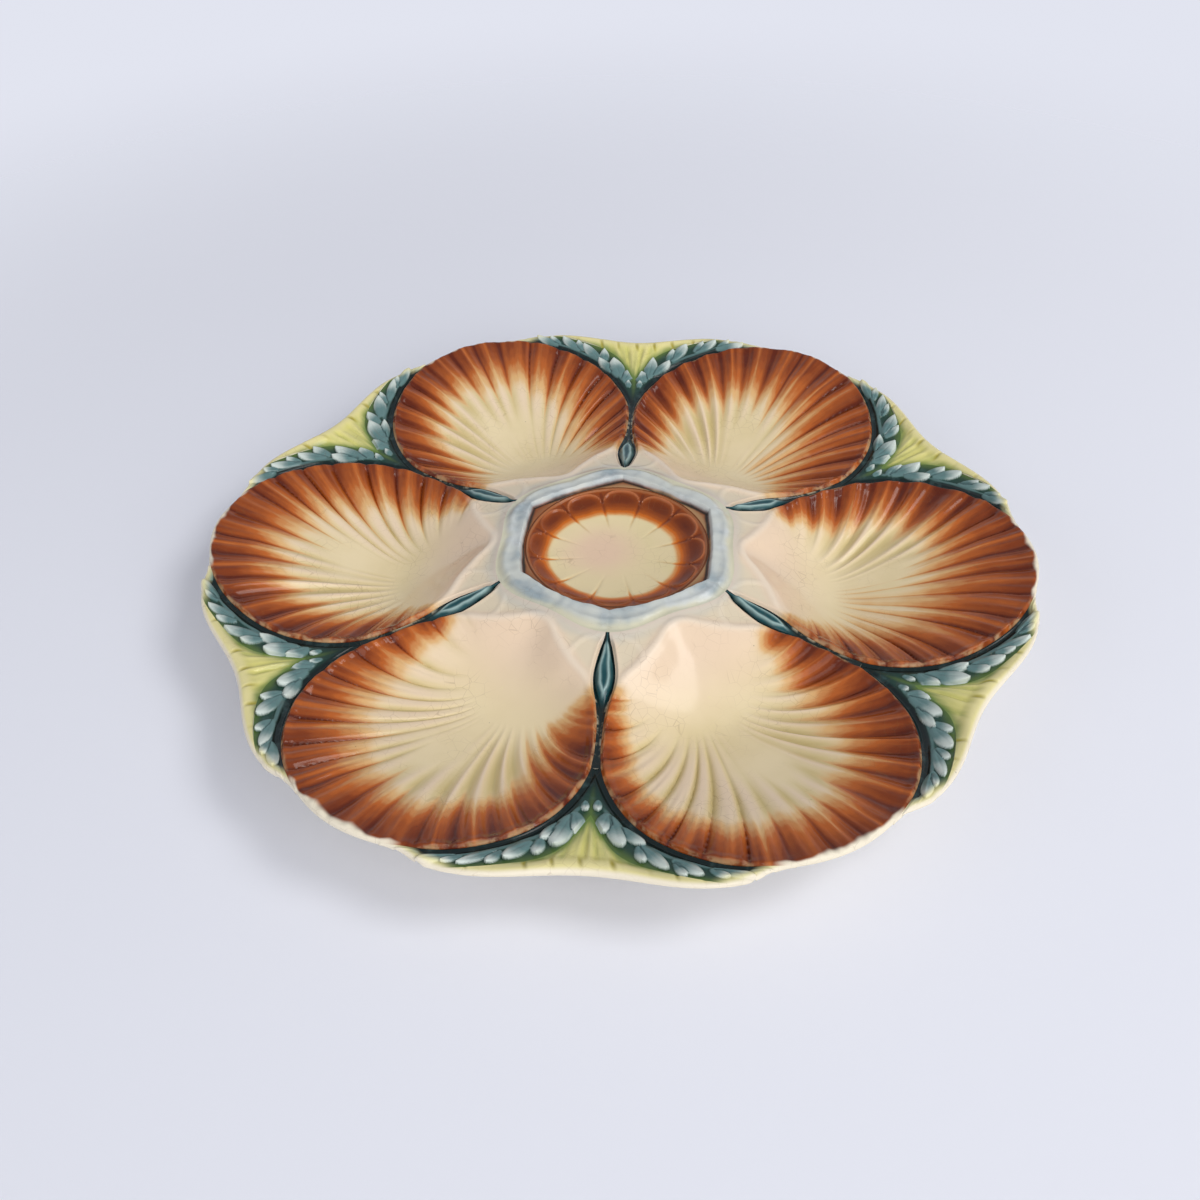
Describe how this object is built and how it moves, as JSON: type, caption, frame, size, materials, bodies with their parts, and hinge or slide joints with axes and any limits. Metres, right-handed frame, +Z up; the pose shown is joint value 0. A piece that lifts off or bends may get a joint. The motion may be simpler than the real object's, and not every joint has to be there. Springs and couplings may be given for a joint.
{
  "type": "oyster plate",
  "caption": "Glazed earthenware oyster plate: scallop shell wells round a centre well for sauce, leaf sprays and pods in relief between them, on a low foot ring.",
  "frame": {"origin": "middle of the plate, on the table it stands on", "axes": "+Z up, out of the wells; +X out along the first shell to its tip"},
  "size_m": [0.245, 0.2348, 0.0244],
  "materials": {
    "shell_glaze": "cream glaze running to orange-brown at the rim, glossy",
    "centre_glaze": "cream glaze with a brown band round it, glossy",
    "collar_glaze": "pale blue-grey glaze, glossy",
    "pod_glaze": "dark teal glaze with paler crests, glossy",
    "leaf_glaze": "grey-blue glaze over a dark teal ground, glossy",
    "rim_glaze": "yellow-green glaze running to pale yellow at the lip, glossy",
    "foot_glaze": "ivory glaze, worn bare where the foot stands"
  },
  "bodies": {
    "root": {"centre_well": "centre_glaze", "centre_collar": "collar_glaze", "foot_ring": "foot_glaze", "shell_1": "shell_glaze", "shell_2": "shell_glaze", "shell_3": "shell_glaze", "shell_4": "shell_glaze", "shell_5": "shell_glaze", "shell_6": "shell_glaze", "pod_1": "pod_glaze", "pod_2": "pod_glaze", "pod_3": "pod_glaze", "pod_4": "pod_glaze", "pod_5": "pod_glaze", "pod_6": "pod_glaze", "leaf_spray_1_left": "leaf_glaze", "leaf_spray_2_left": "leaf_glaze", "leaf_spray_3_left": "leaf_glaze", "leaf_spray_4_left": "leaf_glaze", "leaf_spray_5_left": "leaf_glaze", "leaf_spray_6_left": "leaf_glaze", "leaf_spray_1_right": "leaf_glaze", "leaf_spray_2_right": "leaf_glaze", "leaf_spray_3_right": "leaf_glaze", "leaf_spray_4_right": "leaf_glaze", "leaf_spray_5_right": "leaf_glaze", "leaf_spray_6_right": "leaf_glaze", "rim_panel_1": "rim_glaze", "rim_panel_2": "rim_glaze", "rim_panel_3": "rim_glaze", "rim_panel_4": "rim_glaze", "rim_panel_5": "rim_glaze", "rim_panel_6": "rim_glaze"}
  },
  "joints": []
}
